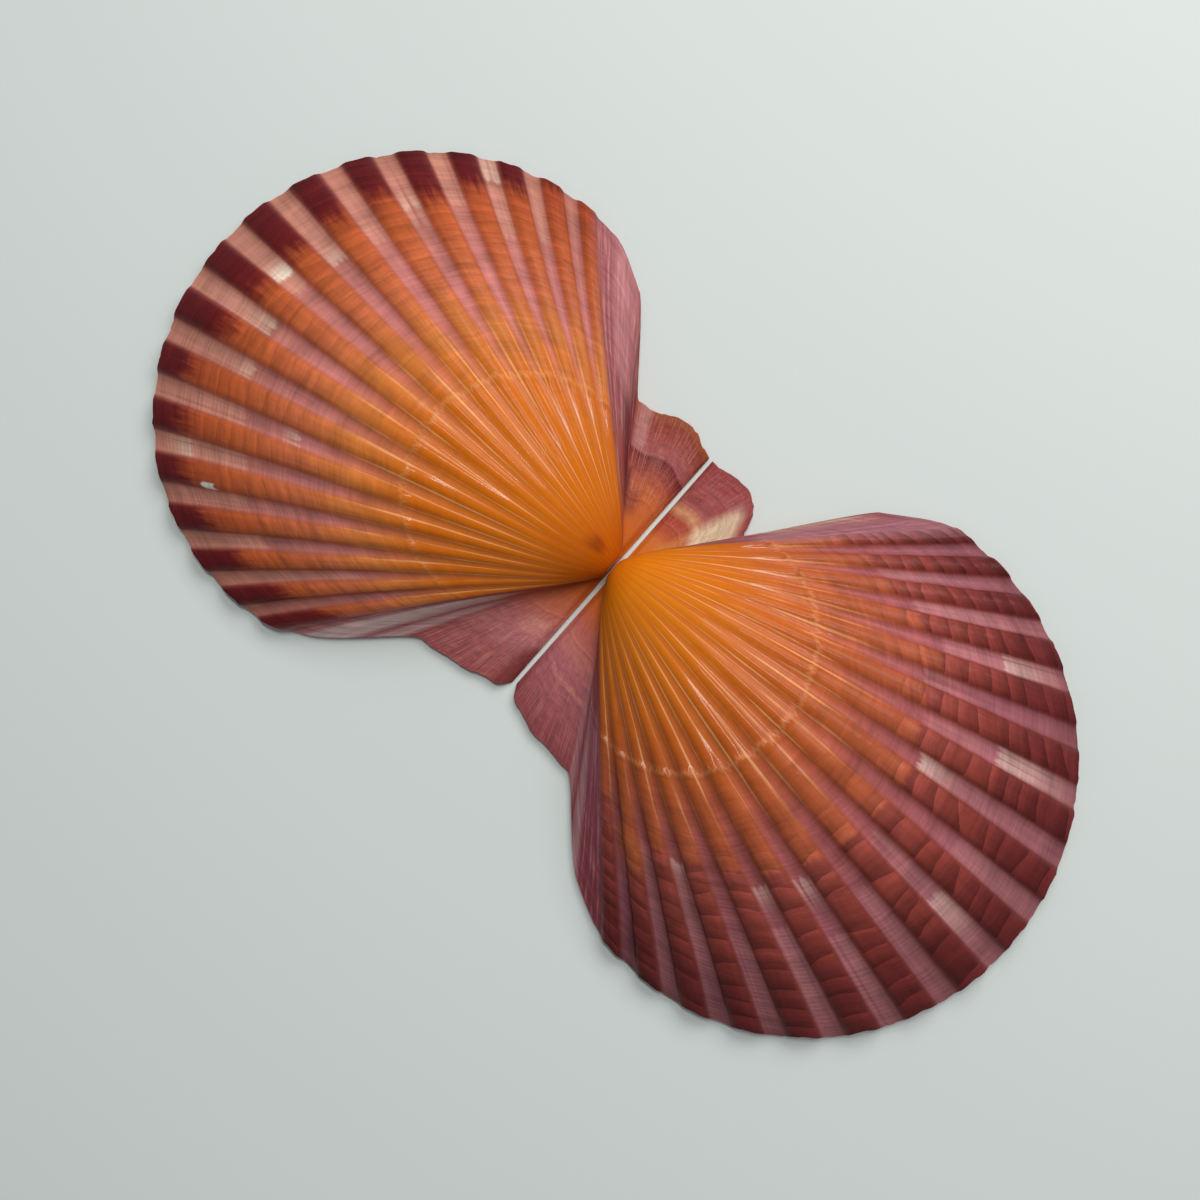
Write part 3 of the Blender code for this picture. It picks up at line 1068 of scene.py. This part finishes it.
    def _numbers(
        self, directions: np.ndarray, growth: np.ndarray, inside: np.ndarray
    ) -> dict[str, np.ndarray]:
        """Numbers that the material reads, for each point of the grid and the two poles."""
        shape = self.shape
        number = shape.rib_number(directions)
        past_ribs = rise(shape.rib_reach - 0.6, shape.rib_reach + 0.1, np.abs(number))
        flank = past_ribs * rise(20.0, 30.0, shape.from_hinge(directions))
        pale = self.markings.stretch(self.markings.pale, number)
        white = self.markings.stretch(self.markings.white, number)
        on_disc = shape.disc_share(directions)
        # Per-rib tone, kept off the ears and flanks: partly the ribs' own colour, partly painted shade on
        # the back ribs and painted light on the left half's front ribs.
        darkening_by_tone_and_painted_shade = (1.0 - self.markings.shade(number)) * on_disc * (1.0 - flank)
        by_column = {
            "rib": number,
            "crest": shape.crest(directions),
            "disc": on_disc,
            "flank": flank,
            "angle": directions,
            "shade": 1.0 - darkening_by_tone_and_painted_shade,
            "turn": self.markings.turn(number),
            "pale_start": pale[0],
            "pale_end": pale[1],
            "paleness": pale[2],
            "white_start": white[0],
            "white_end": white[1],
            "whiteness": white[2],
        }
        rows = len(growth)
        numbers = {kind: np.tile(values, rows) for kind, values in by_column.items()}
        numbers["growth"] = np.repeat(growth, self.columns)
        numbers["inside"] = np.repeat(inside, self.columns)
        poles = {"angle": (90.0, 90.0), "disc": (1.0, 1.0), "inside": (0.0, 1.0), "shade": (1.0, 1.0)}
        return {kind: np.append(values, poles.get(kind, (0.0, 0.0))) for kind, values in numbers.items()}


@dataclass(frozen=True)
class Camera:
    """The photograph's camera: nearly straight above, leaning towards the left half."""

    aim: tuple[float, float] = (-0.00211, -0.001)
    distance: float = 0.168
    tilt: float = 6.22
    bearing: float = -89.2
    image_right: float = -48.8
    lens: float = 48.0
    sensor: float = 36.0
    nearest: float = 0.01

    def build(self) -> None:
        """Place the camera and make it the scene's."""
        lean, bearing = math.radians(self.tilt), math.radians(self.bearing)
        level = math.sin(lean)
        back = Vector((level * math.cos(bearing), level * math.sin(bearing), math.cos(lean)))
        turn = math.radians(self.image_right)
        floor_right = Vector((math.cos(turn), math.sin(turn), 0.0))
        up = back.cross(floor_right).normalized()
        right = up.cross(back)
        data = bpy.data.cameras.new("camera")
        data.lens = self.lens
        data.sensor_width = self.sensor
        data.clip_start = self.nearest
        camera = bpy.data.objects.new("camera", data)
        bpy.context.scene.collection.objects.link(camera)
        axes = Matrix((right, up, back)).transposed().to_4x4()
        camera.matrix_world = Matrix.Translation(Vector((*self.aim, 0.0)) + back * self.distance) @ axes
        bpy.context.scene.camera = camera


@dataclass(frozen=True)
class SoftLight:
    """A soft light that looks at the shell, its length running across the hinge line."""

    name: str
    bearing: float
    elevation: float
    distance: float
    breadth: float
    length: float
    power: float
    colour: tuple[float, float, float] = (1.0, 1.0, 1.0)

    def build(self) -> None:
        """Place the light."""
        bearing, elevation = math.radians(self.bearing), math.radians(self.elevation)
        level = math.cos(elevation)
        away = Vector((level * math.cos(bearing), level * math.sin(bearing), math.sin(elevation)))
        across = Vector((0.0, 1.0, 0.0))
        along = across.cross(away).normalized()
        data = bpy.data.lights.new(self.name, "AREA")
        data.shape = "RECTANGLE"
        data.size = self.breadth
        data.size_y = self.length
        data.energy = self.power
        data.color = self.colour
        light = bpy.data.objects.new(self.name, data)
        axes = Matrix((along, away.cross(along), away)).transposed().to_4x4()
        light.matrix_world = Matrix.Translation(away * self.distance) @ axes
        bpy.context.scene.collection.objects.link(light)


@dataclass(frozen=True)
class Studio:
    """Plain pale floor and soft surrounding light."""

    floor_size: float = 3.0
    floor_drop: float = 0.00004
    floor_colour: Colour = srgb(214, 220, 216)
    floor_roughness: float = 0.9
    floor_specular: float = 0.2
    sky_colour: Colour = (0.86, 0.92, 0.95, 1.0)
    sky_strength: float = 0.22
    lights: tuple[SoftLight, ...] = (
        SoftLight("key", bearing=12.0, elevation=76.0, distance=0.6, breadth=0.05, length=0.3, power=1.2),
        SoftLight(
            "window", bearing=5.0, elevation=46.0, distance=0.36, breadth=0.216, length=0.324, power=0.86
        ),
    )

    def build(self) -> None:
        """Make the floor, the sky and the lights."""
        bpy.ops.mesh.primitive_plane_add(size=self.floor_size, location=(0.0, 0.0, -self.floor_drop))
        floor = bpy.context.object
        floor.name = "floor"
        material = bpy.data.materials.new("floor")
        material.use_nodes = True
        surface = material.node_tree.nodes["Principled BSDF"]
        surface.inputs["Base Color"].default_value = self.floor_colour
        surface.inputs["Roughness"].default_value = self.floor_roughness
        surface.inputs["Specular IOR Level"].default_value = self.floor_specular
        floor.data.materials.append(material)

        world = bpy.data.worlds.new("studio")
        world.use_nodes = True
        sky = world.node_tree.nodes["Background"]
        sky.inputs["Color"].default_value = self.sky_colour
        sky.inputs["Strength"].default_value = self.sky_strength
        scene = bpy.context.scene
        scene.world = world
        scene.view_settings.view_transform = "Standard"
        for light in self.lights:
            light.build()


RIGHT_SHAPE = ValveShape(
    side=Side.RIGHT,
    disc_tilt=-1.2,
    spiral=1.85,
    rib_centre=93.1,
    rib_pitch=6.55,
    rib_narrowing=0.0016,
    front_ear=NOTCHED_FRONT_EAR,
    back_ear=RIGHT_BACK_EAR,
)

LEFT_SHAPE = ValveShape(
    side=Side.LEFT,
    disc_tilt=0.0,
    spiral=1.95,
    rib_centre=91.3,
    rib_pitch=6.45,
    rib_narrowing=0.0012,
    front_ear=PLAIN_FRONT_EAR,
    back_ear=LEFT_BACK_EAR,
)

RIGHT_RELIEF = Relief(
    seed=11,
    marks=(
        GrowthMark(size=0.446, height=0.10, run=0.02, on_ribs=0.5),
        GrowthMark(size=0.645, height=0.06, run=0.03, on_ribs=0.8),
        GrowthMark(size=0.766, height=0.08, run=0.03, on_ribs=0.7),
    ),
    line_height=0.03,
    knob_height=0.05,
    knob_start=0.5,
    riblet_height=0.05,
    riblet_pitch=4.6,
    ear_line_height=0.01,
    margin_nick=0.15,
)

LEFT_RELIEF = Relief(
    seed=23,
    marks=(
        GrowthMark(size=0.466, height=0.12, run=0.02, on_ribs=0.5),
        GrowthMark(size=0.670, height=0.12, run=0.03, on_ribs=0.7),
        GrowthMark(size=0.790, height=0.10, run=0.03, on_ribs=0.7),
    ),
    line_height=0.035,
    knob_height=0.16,
    knob_start=0.6,
    riblet_height=0.05,
    riblet_pitch=4.6,
    ear_line_height=0.01,
    margin_nick=0.15,
)

RIGHT_MARKINGS = Markings(
    turns=(
        1.05, 0.99, 0.925, 0.905, 0.862, 0.882, 0.868, 0.848, 0.846,
        0.862, 0.915, 0.905, 0.915, 0.9, 0.875, 0.84, 0.80,
    ),
    pale=pale_run(
        (-6.5, 0.80, 1.2, 0.5), (-5.5, 0.775, 1.2, 0.5), (-4.5, 0.842, 1.2, 0.55),
        (-3.5, 0.790, 1.2, 0.5), (-2.5, 0.775, 1.2, 0.5), (-1.5, 0.778, 1.2, 0.65),
        (-0.5, 0.778, 1.2, 0.7), (0.5, 0.772, 1.2, 0.75), (1.5, 0.772, 1.2, 0.6),
        (2.5, 0.766, 1.2, 0.6), (3.5, 0.763, 1.2, 0.65), (4.5, 0.780, 1.2, 0.5), (5.5, 0.787, 1.2, 0.6),
        (6.5, 0.62, 1.2, 0.5),
    ),
    white=pale_run(
        (-5.5, 0.93, 1.05, 0.35), (-3.5, 0.836, 0.90, 0.25), (-1.5, 0.778, 0.84, 0.25),
        (-0.5, 0.823, 0.885, 0.95), (0.5, 0.772, 0.86, 0.3), (1.5, 0.772, 0.83, 0.2),
        (2.5, 0.645, 0.70, 0.35), (3.5, 0.897, 0.97, 0.35),
    ),
    # Per-rib tone: partly the ribs' own colour, partly painted shade on the back ribs.
    tones=((-9, 0.9), (-5, 1.0), (0, 1.0), (3, 0.97), (6, 0.88), (8.5, 0.78)),
)

LEFT_MARKINGS = Markings(
    turns=(
        0.66, 0.66, 0.665, 0.690, 0.712, 0.668, 0.668, 0.675, 0.665,
        0.665, 0.662, 0.660, 0.650, 0.644, 0.641, 0.66, 0.60,
    ),
    pale=pale_run(
        (-6.5, 0.66, 1.05, 0.5), (-5.5, 0.69, 1.2, 0.6), (-4.5, 0.72, 1.2, 0.5),
        (-3.5, 0.665, 0.84, 0.6), (-2.5, 0.67, 1.2, 0.3), (-1.5, 0.68, 1.2, 0.4),
        (-0.5, 0.80, 1.2, 0.4), (0.5, 0.677, 1.2, 0.5), (1.5, 0.738, 1.2, 0.42), (2.5, 0.793, 1.2, 0.5),
        (3.5, 0.757, 1.2, 0.55), (4.5, 0.77, 1.2, 0.4), (5.5, 0.644, 1.2, 0.5), (6.5, 0.64, 1.2, 0.45),
    ),
    white=pale_run(
        (-4.5, 0.85, 1.0, 0.5), (-2.5, 0.818, 1.02, 0.6), (-1.5, 0.68, 0.78, 0.6),
        (0.5, 0.824, 0.96, 0.45), (2.5, 0.677, 0.76, 0.5), (3.5, 0.675, 0.745, 0.5),
        (5.5, 0.644, 0.69, 0.5),
    ),
    # Per-rib tone: partly the ribs' own colour, partly painted shade on the back ribs and painted light on
    # the front ribs.
    tones=((-9, 0.95), (-5, 1.08), (-2, 1.03), (0, 1.0), (3, 0.92), (6, 0.76), (8.5, 0.64)),
)

INSIDE_COLOURS: Stops = colour_run(
    (0.0, 238, 196, 150), (0.35, 240, 222, 206), (0.75, 226, 196, 190), (0.93, 190, 134, 122),
    (1.0, 150, 70, 62),
)

RIGHT_FINISH = ShellFinish(
    name="right_shell",
    ribs=colour_run(
        (0.0, 186, 80, 6), (0.20, 210, 108, 2), (0.42, 208, 104, 12), (0.55, 204, 116, 54),
        (0.66, 194, 102, 64), (0.80, 186, 90, 48), (1.0, 158, 64, 38),
    ),
    outer_ribs=colour_run(
        (0.0, 130, 36, 24), (0.86, 112, 28, 26), (0.93, 98, 24, 28), (1.0, 94, 24, 28),
    ),
    grooves=colour_run(
        (0.0, 200, 98, 16), (0.20, 212, 116, 14), (0.36, 222, 130, 58), (0.50, 200, 112, 76),
        (0.62, 196, 120, 114), (0.76, 186, 116, 106), (1.0, 178, 112, 96),
    ),
    groove_sides=colour_run(
        (0.0, 200, 98, 16), (0.35, 206, 108, 40), (0.60, 190, 104, 78), (0.80, 176, 92, 74),
        (1.0, 144, 70, 60),
    ),
    flank=colour_run(
        (0.0, 186, 84, 20), (0.25, 140, 58, 44), (0.5, 146, 74, 82), (1.0, 160, 90, 98),
    ),
    front_ear=colour_run(
        (0.0, 206, 106, 22), (0.22, 204, 104, 36), (0.50, 188, 92, 44), (0.60, 160, 68, 50),
        (0.715, 112, 34, 40), (0.735, 162, 84, 84), (0.86, 152, 68, 62), (0.93, 140, 54, 44),
        (1.0, 152, 72, 34),
    ),
    back_ear=colour_run(
        (0.0, 190, 88, 18), (0.25, 186, 90, 40), (0.42, 190, 100, 76), (0.55, 172, 96, 96),
        (0.68, 174, 102, 104), (0.78, 156, 84, 86), (1.0, 146, 72, 72),
    ),
    inside=INSIDE_COLOURS,
    pale=srgb(212, 150, 128),
    white=srgb(246, 232, 210),
    blotches=(
        Blotch(srgb(232, 160, 96), (46.0, 139.0), (0.441, 0.449), 0.32, 3.0, 0.006),
        Blotch(srgb(92, 34, 44), (30.0, 38.0), (0.24, 0.60), 0.85, 4.0, 0.12),
        Blotch(srgb(116, 44, 44), (20.0, 33.0), (0.34, 0.50), 0.55, 8.0, 0.10),
        Blotch(srgb(190, 128, 130), (36.5, 41.0), (0.58, 1.1), 0.6, 3.0, 0.10),
        Blotch(srgb(196, 138, 132), (27.0, 32.0), (0.74, 1.1), 0.6, 3.0, 0.03),
        Blotch(srgb(214, 186, 180), (143.5, 146.5), (0.36, 1.1), 0.75, 1.5, 0.16),
        Blotch(srgb(214, 180, 174), (147.5, 149.5), (0.50, 1.1), 0.6, 1.2, 0.16),
        Blotch(srgb(244, 240, 230), (119.5, 120.3), (0.858, 0.888), 0.95, 0.4, 0.008),
        Blotch(srgb(110, 42, 36), (174.0, 182.0), (0.70, 1.1), 0.7, 4.0, 0.10),
        Blotch(srgb(212, 144, 128), (163.0, 175.0), (0.50, 0.62), 0.5, 6.0, 0.06),
        Blotch(srgb(120, 40, 14), (78.0, 92.0), (0.09, 0.125), 0.55, 6.0, 0.03),
    ),
    turn_softness=0.075,
    turn_unevenness=0.13,
    step_count=34.0,
    step_tone=0.22,
    step_depth=0.00002,
)

LEFT_FINISH = ShellFinish(
    name="left_shell",
    ribs=colour_run(
        (0.0, 206, 102, 8), (0.12, 224, 126, 12), (0.28, 208, 108, 10), (0.42, 190, 90, 26),
        (0.55, 174, 84, 46), (0.66, 170, 84, 58), (1.0, 160, 70, 50),
    ),
    outer_ribs=colour_run(
        (0.0, 150, 72, 58), (0.68, 148, 68, 58), (0.80, 132, 56, 48), (0.90, 108, 42, 40),
        (1.0, 98, 36, 36),
    ),
    grooves=colour_run(
        (0.0, 214, 112, 18), (0.22, 222, 128, 32), (0.38, 208, 114, 54), (0.50, 184, 90, 58),
        (0.60, 164, 86, 82), (0.80, 156, 90, 98), (1.0, 132, 76, 82),
    ),
    groove_sides=colour_run(
        (0.0, 214, 112, 18), (0.40, 196, 98, 44), (0.60, 160, 80, 62), (0.80, 132, 62, 58),
        (1.0, 112, 50, 48),
    ),
    flank=colour_run(
        (0.0, 200, 96, 24), (0.22, 118, 48, 44), (0.5, 134, 64, 78), (1.0, 128, 56, 66),
    ),
    front_ear=colour_run(
        (0.0, 222, 120, 26), (0.33, 206, 112, 50), (0.40, 182, 82, 48), (0.53, 166, 68, 50),
        (0.59, 204, 142, 98), (0.66, 174, 94, 84), (0.80, 158, 74, 72), (1.0, 150, 62, 60),
    ),
    back_ear=colour_run(
        (0.0, 214, 112, 20), (0.25, 200, 100, 44), (0.38, 184, 96, 84), (0.50, 184, 108, 98),
        (0.62, 164, 92, 98), (0.80, 154, 82, 86), (1.0, 132, 60, 64),
    ),
    inside=INSIDE_COLOURS,
    pale=srgb(182, 122, 120),
    white=srgb(222, 188, 176),
    blotches=(
        Blotch(srgb(236, 160, 104), (42.0, 139.0), (0.457, 0.465), 0.3, 3.0, 0.006),
        Blotch(srgb(224, 198, 164), (23.0, 36.0), (0.54, 0.92), 0.85, 7.0, 0.12),
        Blotch(srgb(122, 38, 46), (3.0, 20.0), (0.67, 0.74), 0.55, 6.0, 0.06),
        Blotch(srgb(214, 140, 70), (22.0, 34.0), (0.28, 0.52), 0.5, 6.0, 0.10),
        Blotch(srgb(180, 124, 132), (38.0, 43.5), (0.42, 1.1), 0.45, 3.0, 0.16),
        Blotch(srgb(196, 148, 150), (146.0, 148.0), (0.42, 1.1), 0.6, 1.5, 0.16),
        Blotch(srgb(190, 140, 142), (149.5, 151.5), (0.46, 1.1), 0.5, 1.5, 0.16),
        Blotch(srgb(206, 136, 116), (150.0, 172.0), (0.66, 0.685), 0.5, 6.0, 0.012),
        Blotch(srgb(196, 104, 48), (132.0, 137.0), (0.64, 0.72), 0.6, 2.0, 0.05),
    ),
    turn_softness=0.010,
    turn_unevenness=0.035,
    step_count=22.0,
    step_tone=0.62,
    step_depth=0.00007,
)


def main() -> None:
    """Build the shell and its studio."""
    logging.basicConfig(level=logging.INFO, format="%(name)s: %(message)s")
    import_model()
    Camera().build()
    Studio().build()
    effects = Effects()
    halves = (
        ShellHalf("right_valve", RIGHT_SHAPE, RIGHT_RELIEF, RIGHT_MARKINGS, RIGHT_FINISH),
        ShellHalf("left_valve", LEFT_SHAPE, LEFT_RELIEF, LEFT_MARKINGS, LEFT_FINISH),
    )
    for half in halves:
        half.build(effects)


if __name__ == "__main__":
    main()
